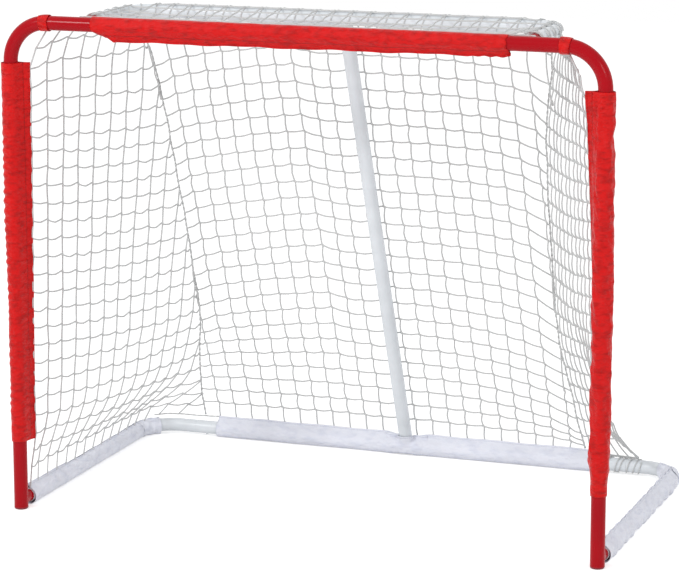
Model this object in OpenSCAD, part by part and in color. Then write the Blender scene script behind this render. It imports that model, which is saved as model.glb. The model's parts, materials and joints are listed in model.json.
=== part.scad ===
// Street hockey goal: slip-together steel tube frame, laced net, fabric sleeves.
// X runs across the mouth, the mouth faces -Y, Z is up and the floor is Z = 0.
// The origin is the middle of the footprint, on the floor.

/* [Goal] */
// Width over the two posts
goal_w = 1371.6; // [1200:0.1:1900]
// Height of the crossbar's top over the floor
goal_h = 1117.6; // [900:0.1:1300]
// Front frame to rear base bar, axis to axis
base_depth = 736; // [640:1:900]
// Crossbar to the top shelf's rear bar, axis to axis
shelf_depth = 294; // [260:1:380]
// Post axis to the shelf arm's axis, across the goal
shelf_inset = 170; // [150:1:240]

/* [Tubes] */
// Outer diameter of every frame tube
tube_d = 31.75; // [28:0.05:36]
// Wall of every frame tube
tube_wall = 1.2; // [1:0.1:1.6]
// Centre-line radius of every bend
bend_r = 87; // [80:1:100]
// Radial clearance of a slip joint
slip_gap = 0.4; // [0.2:0.05:0.6]
// Length of each reduced end inside its neighbour
slip_len = 45; // [40:1:60]
// Gap left between two tubes at a joint's seam
seam_gap = 0.3; // [0.1:0.1:1]
// Straight run of a post between its top bend and the crossbar
post_leg = 6; // [4:1:20]
// Straight run of a base tube between its bend and the rear bar
base_leg = 38; // [20:1:60]
// Straight run of a shelf arm between its bend and its rear bar
shelf_leg = 38; // [20:1:60]
// Bare length of the stub between a post and its base tube
base_stub_show = 20; // [15:1:40]
// Bare length of the stub between the crossbar and a shelf arm
shelf_stub_show = 60; // [20:1:70]
// Bar axis to the seam of the brace, at both its ends
brace_stub = 70; // [50:1:100]

/* [Foot caps] */
// Height of the cap's head below the tube
cap_head = 5; // [4:0.5:6]
// Rounding of the cap's bottom edge
cap_round = 3.5; // [2:0.5:4]
// Length of the plug inside the tube
cap_plug = 22; // [15:1:40]
// Wall of the plug
cap_wall = 2.4; // [1.5:0.1:4]
// Radial clearance of the plug
cap_gap = 0.1; // [0.05:0.05:0.3]

/* [Snap buttons] */
// Diameter of the button's stem
button_d = 7; // [6:0.5:8]
// Diameter of the flange inside the tube
button_flange_d = 10; // [9.5:0.5:11]
// Thickness of the flange
button_flange_t = 1.3; // [1:0.1:1.6]
// Height of the button over the outer tube
button_rise = 2.5; // [2:0.1:3]
// Bevel round the button's top
button_bevel = 1; // [0.5:0.1:1.5]
// Distance of the button from the seam of its joint
button_inset = 25; // [22:1:30]
// Radial clearance of the stem in the inner tube
button_gap = 0.2; // [0.1:0.05:0.4]
// Radial clearance of the stem in the outer tube
button_outer_gap = 0.4; // [0.3:0.05:0.8]
// Width of the leaf spring's strip
leaf_w = 8; // [6:0.5:9]
// Thickness of the leaf spring's strip
leaf_t = 0.8; // [0.6:0.1:1]
// Half length of the leaf spring
leaf_reach = 14; // [12:1:16]

/* [Sleeves and straps] */
// Thickness of the sleeve fabric
fabric_t = 1.5; // [1:0.1:2]
// Clearance between fabric and tube
fabric_gap = 0.3; // [0.2:0.05:0.5]
// How much lower than its tube a base sleeve's loop hangs
base_loop_sag = 3.3; // [2:0.1:6]
// Tube axis to the edge of a base sleeve's flap
base_flap = 30; // [26:1:36]
// Tube axis to the edge of a post sleeve's flap
post_flap = 39; // [30:1:45]
// Tube axis to the edge of the crossbar sleeve's flap
bar_flap = 36; // [30:1:45]
// Thickness of a flap at its edge
flap_edge = 3.4; // [3:0.2:5]
// Turn of the post sleeves' flaps from the mouth towards the back
post_flap_turn = 35; // [20:1:50]
// Floor to the lower end of the post sleeves
post_sleeve_z = 158; // [100:1:300]
// Gap between a post sleeve's upper end and the bend
post_sleeve_gap = 3; // [1:1:60]
// Shelf arm axis to the end of the crossbar sleeve
bar_sleeve_inset = 28; // [20:1:120]
// Angle of the base bend where a corner wrap starts
wrap_from = 1; // [0.5:0.5:10]
// Angle of the base bend where a corner wrap ends
wrap_to = 50; // [30:1:80]
// Rear bar's seam to the end of a rear sleeve
rear_sleeve_inset = 56; // [40:1:120]
// Middle of the rear bar to the inner end of a rear sleeve
rear_sleeve_split = 18; // [17:1:60]
// Angle of the bend that a corner strap covers
strap_turn = 15; // [10:1:20]
// Thickness of a strap
strap_t = 1.3; // [1:0.1:1.5]
// Clearance of a strap round its tube
strap_gap = 0.2; // [0.1:0.05:0.3]

/* [Net] */
// Thickness of the net panels
net_t = 3; // [2:0.5:4]
// Width of a cord in the panels
cord_w = 6; // [4:0.5:8]
// Clearance between the net and what it lies on
net_gap = 0.3; // [0.2:0.05:0.5]
// Clearance between the back net and the brace
brace_net_gap = 0.5; // [0.3:0.1:2]
// Gaps from the floor up to the shelf
net_rows = 12; // [8:1:12]
// Gaps across the straight part of the back
net_cols = 8; // [6:1:10]
// Gaps along a side, without the two round the corner
net_side_cols = 4; // [3:1:4]
// Gaps from the crossbar to the shelf's rear bar
net_top_rows = 3; // [2:1:3]
// Post axis to the foot of the seam between side net and back net
net_seam_inset = 149; // [120:1:170]
// How much the seams draw in halfway up, as a share of their distance from the middle
net_draw_in = 0.05; // [0:0.01:0.1]
// Rows in which a side net draws in from the base tube to the straight line
net_flare_rows = 2; // [1:1:3]
// Turn of the side nets' faces from straight outwards towards the back
net_side_turn = 20; // [0:1:30]

/* [Hidden] */
$fn = 72;
over = 0.5;
tube_r = tube_d / 2;
bore_r = tube_r - tube_wall;
slip_r = bore_r - slip_gap;
slip_bore_r = slip_r - tube_wall;
sleeve_r = tube_r + fabric_gap + fabric_t;

// Where a flap leaves its loop, as shares of the loop's radius
flap_root_x = 0.8;
flap_root_y = 0.42;
// What a flap's hollow is lower and narrower by than its outline
hollow_drop = 2.5 * fabric_t;
hollow_narrow = 1.8 * fabric_t;

post_x = goal_w / 2 - tube_r;
front_y = -base_depth / 2;
rear_y = base_depth / 2;
bar_z = goal_h - tube_r;
base_z = sleeve_r + base_loop_sag;
shelf_x = post_x - shelf_inset;
shelf_y = front_y + shelf_depth;

post_bend_z = bar_z - bend_r;
crossbar_seam = post_x - bend_r - post_leg;
base_seam = post_x - bend_r - base_leg;
shelf_seam = shelf_x - bend_r - shelf_leg;
base_tube_y = front_y + tube_r + base_stub_show;
shelf_arm_y = front_y + tube_r + shelf_stub_show;

brace_run = rear_y - shelf_y;
brace_rise = bar_z - base_z;
brace_len = norm([brace_run, brace_rise]);
brace_lean = atan2(brace_run, brace_rise);

// The back net runs behind the brace and parallel to it, from flap to shelf
brace_to_net = tube_r + brace_net_gap + net_t / 2;
flap_reach = base_flap + net_gap + net_t / 2 * brace_to_net / base_flap;
net_off = brace_to_net / cos(brace_lean);
rear_lean = asin(brace_to_net / flap_reach) - brace_lean;

button_r = button_d / 2;
flange_top = sqrt(pow(slip_bore_r, 2) - pow(button_flange_d / 2, 2)) - button_gap;
flange_bottom = flange_top - button_flange_t;
button_top = tube_r + button_rise;
leaf_gap = 0.2;
leaf_fold = 3;
leaf_corner = 0.3 * leaf_fold;
leaf_floor = sqrt(pow(slip_bore_r, 2) - pow(leaf_w / 2, 2)) - leaf_gap;

RED = "#c1101f";
WHITE = "#d8dee6";
RED_CLOTH = "#e01a1a";
WHITE_CLOTH = "#dde0f0";
CORD = "#e4e6e8";

// ---- tube shapes, each along +Z from its own origin ----

module pipe_section(outer, inner) {
    difference() {
        circle(r = outer);
        circle(r = inner);
    }
}

module pipe(len, outer = tube_r, inner = bore_r) {
    linear_extrude(len) pipe_section(outer, inner);
}

// A bend that starts at the origin along +Z and turns towards +X
module bend(turn, outer = tube_r, inner = bore_r) {
    translate([bend_r, 0, 0]) rotate([90, 0, 0]) rotate([0, 0, 180 - turn])
        rotate_extrude(angle = turn) translate([bend_r, 0]) pipe_section(outer, inner);
}

// The reduced end of a tube, past the seam at the origin
module slip_end() {
    translate([0, 0, -tube_wall]) pipe(tube_wall, tube_r, slip_bore_r);
    translate([0, 0, -over]) pipe(slip_len + over, slip_r, slip_bore_r);
}

module button_hole(place, up, clearance) {
    translate(place) rotate([up ? 0 : 180, 0, 0]) cylinder(r = button_r + clearance, h = button_top);
}

// ---- places of the snap buttons, side is -1 for left and 1 for right ----

function base_front_snap(side) = [side * post_x, base_tube_y + button_inset, base_z];
function base_rear_snap(side) = [side * (base_seam - button_inset), rear_y, base_z];
function shelf_front_snap(side) = [side * shelf_x, shelf_arm_y + button_inset, bar_z];
function shelf_rear_snap(side) = [side * (shelf_seam - button_inset), shelf_y, bar_z];

// ---- frame ----

module post(side) {
    color(RED) mirror([side > 0 ? 1 : 0, 0, 0]) difference() {
        union() {
            translate([-post_x, front_y, cap_head]) pipe(post_bend_z - cap_head);
            translate([-post_x, front_y, post_bend_z]) bend(90);
            translate([-post_x + bend_r, front_y, bar_z]) rotate([0, 90, 0]) {
                pipe(post_leg);
                translate([0, 0, post_leg]) slip_end();
            }
            translate([-post_x, front_y, base_z]) rotate([-90, 0, 0])
                pipe(tube_r + base_stub_show + slip_len, slip_r, slip_bore_r);
        }
        translate([-post_x, front_y, cap_head]) cylinder(r = bore_r, h = base_z + tube_r);
        button_hole(base_front_snap(-1), true, button_gap);
    }
}

module crossbar() {
    len = 2 * (crossbar_seam - seam_gap);
    color(RED) difference() {
        union() {
            translate([-len / 2, front_y, bar_z]) rotate([0, 90, 0]) pipe(len);
            for (side = [-1, 1])
                translate([side * shelf_x, front_y, bar_z]) rotate([-90, 0, 0])
                    pipe(tube_r + shelf_stub_show + slip_len, slip_r, slip_bore_r);
        }
        translate([-len / 2, front_y, bar_z]) rotate([0, 90, 0]) cylinder(r = bore_r, h = len);
        for (side = [-1, 1]) button_hole(shelf_front_snap(side), false, button_gap);
    }
}

// A side tube: a straight run to the back, a bend and a reduced end towards the middle
module side_tube(x, y_start, y_axis, z, leg) {
    straight = y_axis - bend_r - y_start;
    translate([-x, y_start, z]) rotate([-90, 0, 0]) {
        pipe(straight);
        translate([0, 0, straight]) bend(90);
    }
    translate([-x + bend_r, y_axis, z]) rotate([0, 90, 0]) {
        pipe(leg);
        translate([0, 0, leg]) slip_end();
    }
}

module base_tube(side) {
    color(WHITE) mirror([side > 0 ? 1 : 0, 0, 0]) difference() {
        side_tube(post_x, base_tube_y, rear_y, base_z, base_leg);
        button_hole(base_front_snap(-1), true, button_outer_gap);
        button_hole(base_rear_snap(-1), false, button_gap);
    }
}

module shelf_arm(side) {
    color(WHITE) mirror([side > 0 ? 1 : 0, 0, 0]) difference() {
        side_tube(shelf_x, shelf_arm_y, shelf_y, bar_z, shelf_leg);
        button_hole(shelf_front_snap(-1), false, button_outer_gap);
        button_hole(shelf_rear_snap(-1), false, button_gap);
    }
}

// A rear bar with the welded stub that carries one end of the brace
module rear_bar(seam, y, z, stub_turn) {
    len = 2 * (seam - seam_gap);
    difference() {
        union() {
            translate([-len / 2, y, z]) rotate([0, 90, 0]) pipe(len);
            translate([0, y, z]) rotate([stub_turn, 0, 0]) {
                pipe(brace_stub);
                translate([0, 0, brace_stub]) slip_end();
            }
        }
        translate([-len / 2, y, z]) rotate([0, 90, 0]) cylinder(r = bore_r, h = len);
    }
}

module shelf_rear_bar() {
    color(WHITE) difference() {
        rear_bar(shelf_seam, shelf_y, bar_z, 180 + brace_lean);
        for (side = [-1, 1]) button_hole(shelf_rear_snap(side), false, button_outer_gap);
    }
}

module base_rear_bar() {
    color(WHITE) difference() {
        rear_bar(base_seam, rear_y, base_z, brace_lean);
        for (side = [-1, 1]) button_hole(base_rear_snap(side), false, button_outer_gap);
    }
}

module back_brace() {
    color(WHITE) translate([0, rear_y, base_z]) rotate([brace_lean, 0, 0])
        translate([0, 0, brace_stub + seam_gap]) pipe(brace_len - 2 * (brace_stub + seam_gap));
}

module foot_cap(side) {
    color("#7d0d18") translate([side * post_x, front_y, 0]) {
        rotate_extrude() {
            square([tube_r - cap_round, cap_head]);
            translate([0, cap_round]) square([tube_r, cap_head - cap_round]);
            translate([tube_r - cap_round, cap_round]) intersection() {
                circle(r = cap_round);
                translate([0, -cap_round]) square(cap_round);
            }
        }
        translate([0, 0, cap_head - over])
            pipe(cap_plug + over, bore_r - cap_gap, bore_r - cap_gap - cap_wall);
    }
}

// ---- snap buttons and their leaf springs ----

module snap_button(place, up) {
    flange_r = button_flange_d / 2;
    color("#b9bcc0") translate(place) rotate([up ? 0 : 180, 0, 0]) rotate_extrude() polygon([
        [0, flange_bottom], [flange_r, flange_bottom], [flange_r, flange_top],
        [button_r, flange_top], [button_r, button_top - button_bevel],
        [button_r - button_bevel, button_top], [0, button_top]
    ]);
}

function turned(v) = [-v.y, v.x] / norm(v);

// Corner normal of a strip's centre line, stretched so that the strip keeps its thickness
function strip_normal(line, i) =
    let (last = len(line) - 1,
         before = turned(line[max(i, 1)] - line[max(i, 1) - 1]),
         after = turned(line[min(i, last - 1) + 1] - line[min(i, last - 1)]),
         both = before + after)
    both / (both * both) * 2;

module strip(line, thickness) {
    sides = [for (i = [0:len(line) - 1]) strip_normal(line, i) * thickness / 2];
    polygon(concat(
        [for (i = [0:len(line) - 1]) line[i] + sides[i]],
        [for (i = [len(line) - 1:-1:0]) line[i] - sides[i]]));
}

module leaf_spring(place, up, along_x) {
    low = -leaf_floor + leaf_t / 2;
    high = flange_bottom - leaf_gap - leaf_t / 2;
    line = [
        [leaf_reach, low], [-leaf_reach + leaf_fold, low],
        [-leaf_reach + leaf_corner, low + leaf_corner], [-leaf_reach, low + leaf_fold],
        [-leaf_reach + leaf_corner, low + 2 * leaf_fold - leaf_corner],
        [-button_flange_d / 2, high], [button_flange_d / 2, high]
    ];
    color("#8f9499") translate(place) rotate([up ? 0 : 180, 0, along_x ? 0 : 90])
        rotate([90, 0, 0]) linear_extrude(leaf_w, center = true) strip(line, leaf_t);
}

// ---- fabric ----

// A loop that hangs round the tube and runs out into a flap along +Y of the section
module flap_outline(r, flap, edge, sag) {
    translate([0, -sag / 2]) circle(r = r + sag / 2);
    polygon([[r * flap_root_x, r * flap_root_y], [edge / 2, flap],
        [-edge / 2, flap], [-r * flap_root_x, r * flap_root_y]]);
}

module sleeve_section(flap, sag = 0) {
    difference() {
        flap_outline(sleeve_r, flap, flap_edge, sag);
        flap_outline(sleeve_r - fabric_t, flap - hollow_drop, flap_edge - hollow_narrow, sag);
    }
}

module sleeve(len, flap, sag = 0) {
    linear_extrude(len) sleeve_section(flap, sag);
}

module crossbar_sleeve() {
    half = shelf_x - bar_sleeve_inset;
    color(RED_CLOTH) translate([-half, front_y, bar_z]) rotate([0, 90, 0]) rotate([0, 0, -90])
        sleeve(2 * half, bar_flap);
}

module post_sleeve(side) {
    color(RED_CLOTH) mirror([side > 0 ? 1 : 0, 0, 0])
        translate([-post_x, front_y, post_sleeve_z]) rotate([0, 0, post_flap_turn - 90])
            sleeve(post_bend_z - post_sleeve_gap - post_sleeve_z, post_flap);
}

module base_sleeve(side) {
    straight = rear_y - bend_r - base_tube_y;
    color(WHITE_CLOTH) mirror([side > 0 ? 1 : 0, 0, 0])
        translate([-post_x, base_tube_y + straight, base_z]) rotate([90, 0, 0])
            sleeve(straight, base_flap, base_loop_sag);
}

// The sleeve's corner piece, round the base tube's bend
module base_wrap(side) {
    color(WHITE_CLOTH) mirror([side > 0 ? 1 : 0, 0, 0])
        translate([-post_x + bend_r, rear_y - bend_r, base_z]) rotate([0, 0, 180 - wrap_to])
            rotate_extrude(angle = wrap_to - wrap_from) translate([bend_r, 0])
                sleeve_section(base_flap, base_loop_sag);
}

module rear_sleeve(side) {
    half = base_seam - rear_sleeve_inset;
    color(WHITE_CLOTH) mirror([side > 0 ? 1 : 0, 0, 0])
        translate([-half, rear_y, base_z]) rotate([90, 0, 90]) rotate([0, 0, -rear_lean])
            sleeve(half - rear_sleeve_split, base_flap, base_loop_sag);
}

// A strap round the end of a post's top bend
module corner_strap(side) {
    inner = tube_r + strap_gap;
    color(RED_CLOTH) mirror([side > 0 ? 1 : 0, 0, 0])
        translate([-post_x + bend_r, front_y, post_bend_z]) rotate([90, 0, 0]) rotate([0, 0, 90])
            rotate_extrude(angle = strap_turn) translate([bend_r, 0])
                pipe_section(inner + strap_t, inner);
}

// ---- net ----

function mix(a, b, share) = a * (1 - share) + b * share;
function side_length(a, b) = norm(b - a);

// The four corners of a cell's gap, drawn in from the cell's corners a, b, c, d
function gap_corners(a, b, c, d, left, right, low, high) =
    let (across = (side_length(a, b) + side_length(d, c)) / 2,
         along = (side_length(a, d) + side_length(b, c)) / 2,
         u0 = left / across, u1 = 1 - right / across,
         v0 = low / along, v1 = 1 - high / along)
    [for (s = [[u0, v0], [u1, v0], [u1, v1], [u0, v1]]) mix(mix(a, b, s.x), mix(d, c, s.x), s.y)];

// A panel of square gaps on a grid of points, as thick as the net along dir
module net_panel(grid, dir) {
    rows = len(grid) - 1;
    cols = len(grid[0]) - 1;
    half = dir * net_t / 2;
    corner_count = (rows + 1) * (cols + 1);
    gap_count = 4 * rows * cols;
    corners = [for (row = grid) for (p = row) p];
    gaps = [for (i = [0:rows - 1]) for (j = [0:cols - 1]) each gap_corners(
        grid[i][j], grid[i][j + 1], grid[i + 1][j + 1], grid[i + 1][j],
        j == 0 ? cord_w : cord_w / 2, j == cols - 1 ? cord_w : cord_w / 2,
        i == 0 ? cord_w : cord_w / 2, i == rows - 1 ? cord_w : cord_w / 2)];
    points = concat(
        [for (p = corners) p - half], [for (p = corners) p + half],
        [for (p = gaps) p - half], [for (p = gaps) p + half]);
    faces = [for (i = [0:rows - 1]) for (j = [0:cols - 1])
        let (a = i * (cols + 1) + j,
             low = [a, a + 1, a + cols + 2, a + cols + 1],
             high = [for (n = low) n + corner_count],
             gap0 = 2 * corner_count + 4 * (i * cols + j),
             low_gap = [gap0, gap0 + 1, gap0 + 2, gap0 + 3],
             high_gap = [for (n = low_gap) n + gap_count],
             edge = [i == 0, j == cols - 1, i == rows - 1, j == 0])
        for (k = [0:3]) let (n = (k + 1) % 4) each concat(
            [[high_gap[n], high[n], high[k]], [high_gap[k], high_gap[n], high[k]],
             [low[k], low[n], low_gap[n]], [low[k], low_gap[n], low_gap[k]],
             [high_gap[n], high_gap[k], low_gap[k]], [low_gap[n], high_gap[n], low_gap[k]]],
            edge[k] ? [[high[n], low[n], low[k]], [high[k], high[n], low[k]]] : [])];
    color(CORD) polyhedron(points, faces);
}

net_front_y = front_y + sleeve_r + net_gap;
net_side_z = base_z + base_flap + net_gap;
seam_turn = 45;
seam_x = post_x - net_seam_inset;

function flipped(p) = [-p.x, p.y, p.z];

// Points round a left-hand corner, where turn 0 is the side and turn 90 the back:
// over the base sleeve on the low level, beside the shelf's tubes on the high one
function low_point(turn) =
    [-post_x + bend_r * (1 - cos(turn)), rear_y - bend_r * (1 - sin(turn)), net_side_z];

function high_point(turn) =
    let (r = bend_r + net_off / cos(seam_turn / 4))
    [-shelf_x + bend_r - r * cos(turn), shelf_y - bend_r + r * sin(turn), bar_z];

// A point of the back net, which follows the brace and draws in halfway up
function back_point(turn, row) =
    let (share = row / net_rows,
         high = high_point(turn),
         low = [high.x - high_point(seam_turn).x - seam_x,
                rear_y + flap_reach * sin(rear_lean), base_z + flap_reach * cos(rear_lean)],
         p = mix(low, high, share))
    [p.x * (1 - 4 * net_draw_in * share * (1 - share)), p.y, p.z];

module back_net() {
    past_side_net = [net_t / 2 + net_gap, 0, 0];
    grid = [for (row = [0:net_rows])
        let (outer = back_point(seam_turn, row) + past_side_net,
             middle = back_point(1.5 * seam_turn, row),
             inner = back_point(90, row))
        concat([outer, middle],
            [for (j = [0:net_cols]) mix(inner, flipped(inner), j / net_cols)],
            [flipped(middle), flipped(outer)])];
    run = back_point(90, 0) - back_point(90, net_rows);
    net_panel(grid, [0, run.z, -run.y] / norm(run));
}

// The net's front edge: on the base sleeve, up the post sleeve's flap, then to the strap
function side_front(row) =
    let (z = mix(net_side_z, bar_z, row / net_rows),
         reach = post_flap + net_gap + net_t / 2 * cos(post_flap_turn + net_side_turn))
    row == 0 ? [-post_x, base_tube_y + net_gap, z]
    : row == net_rows ? [-post_x + bend_r * (1 - sin(strap_turn)), front_y + net_off, z]
    : [-post_x + reach * cos(post_flap_turn), front_y + reach * sin(post_flap_turn), z];

// Points of a side net's row from the seam to the front, first two of them round the corner
function side_edge(seam, corner, start, front) =
    concat([seam, corner], [for (j = [0:net_side_cols]) mix(start, front, j / net_side_cols)]);

// A side net runs straight from its seam to its front edge, but for the lowest rows, which
// flare to the base tube, and the top row, which goes round the shelf's corner
module side_net(side) {
    cols = net_side_cols + 2;
    straight = [for (row = [0:net_rows])
        [for (j = [0:cols]) mix(back_point(seam_turn, row), side_front(row), j / cols)]];
    low = side_edge(back_point(seam_turn, 0), low_point(seam_turn), low_point(0), side_front(0));
    high = side_edge(high_point(seam_turn), high_point(seam_turn / 2), high_point(0), side_front(net_rows));
    grid = [for (row = [0:net_rows])
        let (flare = max(0, 1 - row / net_flare_rows), round = max(0, 1 + row - net_rows))
        straight[row] + flare * (low - straight[0]) + round * (high - straight[net_rows])];
    mirror([side > 0 ? 1 : 0, 0, 0])
        net_panel(grid, [-cos(net_side_turn), sin(net_side_turn), 0]);
}

module top_net() {
    edge = tube_r - net_t;
    z = goal_h + net_gap + net_t / 2;
    half = shelf_x + edge;
    corner = bend_r + edge;
    straight = shelf_x - bend_r;
    corner_turn = 45;
    rear_x = concat([-straight - corner * cos(corner_turn)],
        [for (j = [0:net_cols]) mix(-straight, straight, j / net_cols)],
        [straight + corner * cos(corner_turn)]);
    cols = len(rear_x) - 1;
    grid = [for (row = [0:net_top_rows]) [for (j = [0:cols])
        let (rear = shelf_y - bend_r + corner * (j == 0 || j == cols ? sin(corner_turn) : 1),
             front_point = [mix(-half, half, j / cols), net_front_y, z],
             rear_point = [rear_x[j], rear, z])
        mix(front_point, rear_point, row / net_top_rows)]];
    net_panel(grid, [0, 0, 1]);
}

post(-1);  // left_post
post(1);  // right_post
crossbar();
shelf_arm(-1);  // left_shelf_arm
shelf_arm(1);  // right_shelf_arm
shelf_rear_bar();
back_brace();
base_tube(-1);  // left_base_tube
base_tube(1);  // right_base_tube
base_rear_bar();
foot_cap(-1);  // left_foot_cap
foot_cap(1);  // right_foot_cap
crossbar_sleeve();
post_sleeve(-1);  // left_post_sleeve
post_sleeve(1);  // right_post_sleeve
base_sleeve(-1);  // left_base_sleeve
base_sleeve(1);  // right_base_sleeve
rear_sleeve(-1);  // left_rear_sleeve
rear_sleeve(1);  // right_rear_sleeve
corner_strap(-1);  // left_corner_strap
corner_strap(1);  // right_corner_strap
base_wrap(-1);  // left_base_wrap
base_wrap(1);  // right_base_wrap
back_net();
side_net(-1);  // left_side_net
side_net(1);  // right_side_net
top_net();
snap_button(base_front_snap(-1), true);  // left_base_front_button
snap_button(base_front_snap(1), true);  // right_base_front_button
snap_button(base_rear_snap(-1), false);  // left_base_rear_button
snap_button(base_rear_snap(1), false);  // right_base_rear_button
snap_button(shelf_front_snap(-1), false);  // left_shelf_front_button
snap_button(shelf_front_snap(1), false);  // right_shelf_front_button
snap_button(shelf_rear_snap(-1), false);  // left_shelf_rear_button
snap_button(shelf_rear_snap(1), false);  // right_shelf_rear_button
leaf_spring(base_front_snap(-1), true, false);  // left_base_front_spring
leaf_spring(base_front_snap(1), true, false);  // right_base_front_spring
leaf_spring(base_rear_snap(-1), false, true);  // left_base_rear_spring
leaf_spring(base_rear_snap(1), false, true);  // right_base_rear_spring
leaf_spring(shelf_front_snap(-1), false, false);  // left_shelf_front_spring
leaf_spring(shelf_front_snap(1), false, false);  // right_shelf_front_spring
leaf_spring(shelf_rear_snap(-1), false, true);  // left_shelf_rear_spring
leaf_spring(shelf_rear_snap(1), false, true);  // right_shelf_rear_spring
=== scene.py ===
"""Street hockey goal: cord net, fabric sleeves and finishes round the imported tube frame."""

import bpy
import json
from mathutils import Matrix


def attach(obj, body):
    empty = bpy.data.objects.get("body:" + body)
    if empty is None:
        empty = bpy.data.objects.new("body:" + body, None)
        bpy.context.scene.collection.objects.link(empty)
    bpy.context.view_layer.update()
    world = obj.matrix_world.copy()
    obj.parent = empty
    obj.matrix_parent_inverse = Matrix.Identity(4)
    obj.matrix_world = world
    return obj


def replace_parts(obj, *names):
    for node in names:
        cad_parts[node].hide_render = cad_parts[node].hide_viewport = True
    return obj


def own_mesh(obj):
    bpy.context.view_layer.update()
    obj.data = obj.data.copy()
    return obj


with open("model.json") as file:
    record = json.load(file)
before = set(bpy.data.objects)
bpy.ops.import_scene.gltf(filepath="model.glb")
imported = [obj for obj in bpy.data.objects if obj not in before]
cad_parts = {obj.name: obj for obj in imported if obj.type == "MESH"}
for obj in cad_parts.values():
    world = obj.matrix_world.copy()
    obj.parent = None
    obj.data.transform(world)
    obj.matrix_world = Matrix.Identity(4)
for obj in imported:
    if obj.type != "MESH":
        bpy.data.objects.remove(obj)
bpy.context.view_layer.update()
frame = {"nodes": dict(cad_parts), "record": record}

import functools
import json
import logging
import math
import random
from dataclasses import dataclass, field
from enum import Enum
from typing import Sequence

import bpy
import numpy as np
from mathutils import Matrix, Vector, noise

BODY = "goal_frame"
SEED = 54
log = logging.getLogger("goal")

Axes = tuple[np.ndarray, np.ndarray, np.ndarray]
Triple = tuple[float, float, float]
Socket = bpy.types.NodeSocket


# ---- sizes ----


@dataclass(frozen=True)
class GoalSizes:
    """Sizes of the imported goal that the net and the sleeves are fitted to, in metres."""

    tube_r: float = 0.015875
    post_x: float = 0.669925
    front_y: float = -0.368
    rear_y: float = 0.368
    bar_z: float = 1.101725
    base_z: float = 0.020975
    shelf_x: float = 0.499925
    shelf_y: float = -0.074
    bend_r: float = 0.087
    base_tube_y: float = -0.332125
    flap_reach: float = 0.0312
    rear_lean: float = math.radians(12.72)
    post_sleeve_z: float = 0.158
    post_sleeve_top: float = 1.011725

    @property
    def post_bend_z(self) -> float:
        """Height at which the posts start to bend."""
        return self.bar_z - self.bend_r


GOAL = GoalSizes()


class Side(Enum):
    """The two sides of the goal, seen from the front."""

    LEFT = -1
    RIGHT = 1

    @property
    def label(self) -> str:
        """The side's word in the names of pieces."""
        return self.name.lower()


FLAP_HEIGHTS = (0.158, 0.40, 0.75, 0.94, 1.0117)
FLAP_TURNS = {Side.LEFT: (52, 46, 36, 28, 22), Side.RIGHT: (98, 62, 38, 18, -10)}


def flap_turn(side: Side, z: float) -> float:
    """The turn of a post sleeve's flap from the mouth towards the back, at a height."""
    return math.radians(float(np.interp(z, FLAP_HEIGHTS, FLAP_TURNS[side])))


def flap_length(z: float) -> float:
    """How far a post sleeve's flap reaches from the post's axis, at a height."""
    return 0.0382 + 0.0036 * (z - FLAP_HEIGHTS[0]) / (FLAP_HEIGHTS[-1] - FLAP_HEIGHTS[0])


# ---- lines and surfaces ----


def vec(x: float, y: float, z: float) -> np.ndarray:
    """A point or a direction."""
    return np.array([x, y, z], dtype=float)


def wobble(place: Sequence[float], scale: float, shift: float = 0.0) -> float:
    """Smooth noise of about -1 to 1 at a place, with scale waves for each metre. A shift picks another."""
    x, y, z = (float(c) * scale for c in place)
    return noise.noise(Vector((x + shift, y - shift, z + 0.37 * shift)))


def smoothstep(share: float) -> float:
    """A share held to 0 to 1 that starts and ends softly."""
    held = min(1.0, max(0.0, share))
    return held * held * (3.0 - 2.0 * held)


def smooth(points: np.ndarray, steps: int) -> np.ndarray:
    """Runs a smooth line through points.

    Args:
        points: The points, each a row, with any further values in the same row.
        steps: Number of points made for each gap.

    Returns:
        The rows of the smooth line.
    """
    ends = np.vstack([2 * points[0] - points[1], points, 2 * points[-1] - points[-2]])
    t = np.linspace(0.0, 1.0, steps, endpoint=False)[:, None]
    parts = [
        0.5 * (2 * b + (c - a) * t + (2 * a - 5 * b + 4 * c - d) * t**2 + (3 * b - a - 3 * c + d) * t**3)
        for a, b, c, d in zip(ends[:-3], ends[1:-2], ends[2:-1], ends[3:])
    ]
    return np.vstack([*parts, points[-1:]])


def distances(line: np.ndarray) -> np.ndarray:
    """How far along a line each of its points is."""
    return np.concatenate([[0.0], np.cumsum(np.linalg.norm(np.diff(line, axis=0), axis=1))])


def along(line: np.ndarray, places: np.ndarray) -> np.ndarray:
    """The points at some distances along a line."""
    run = distances(line)
    return np.stack([np.interp(places, run, line[:, k]) for k in range(line.shape[1])], axis=1)


def length_of(line: np.ndarray) -> float:
    """The length of a line of points."""
    return float(np.linalg.norm(np.diff(line, axis=0), axis=1).sum())


def bend_points(x: float, y: float, z: float, turns: np.ndarray) -> list[np.ndarray]:
    """Points of a level left rear bend, by their turns, on tubes that would meet at x and y."""
    r = GOAL.bend_r
    return [vec(x + r * (1 - math.cos(a)), y - r * (1 - math.sin(a)), z) for a in turns]


def put_in_scene(name: str, data: bpy.types.ID) -> bpy.types.Object:
    """Makes an object of a mesh, a lamp or a camera.

    Args:
        name: Name of the object.
        data: What it shows.

    Returns:
        The new object.
    """
    made = bpy.data.objects.new(name, data)
    bpy.context.scene.collection.objects.link(made)
    return made


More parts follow.
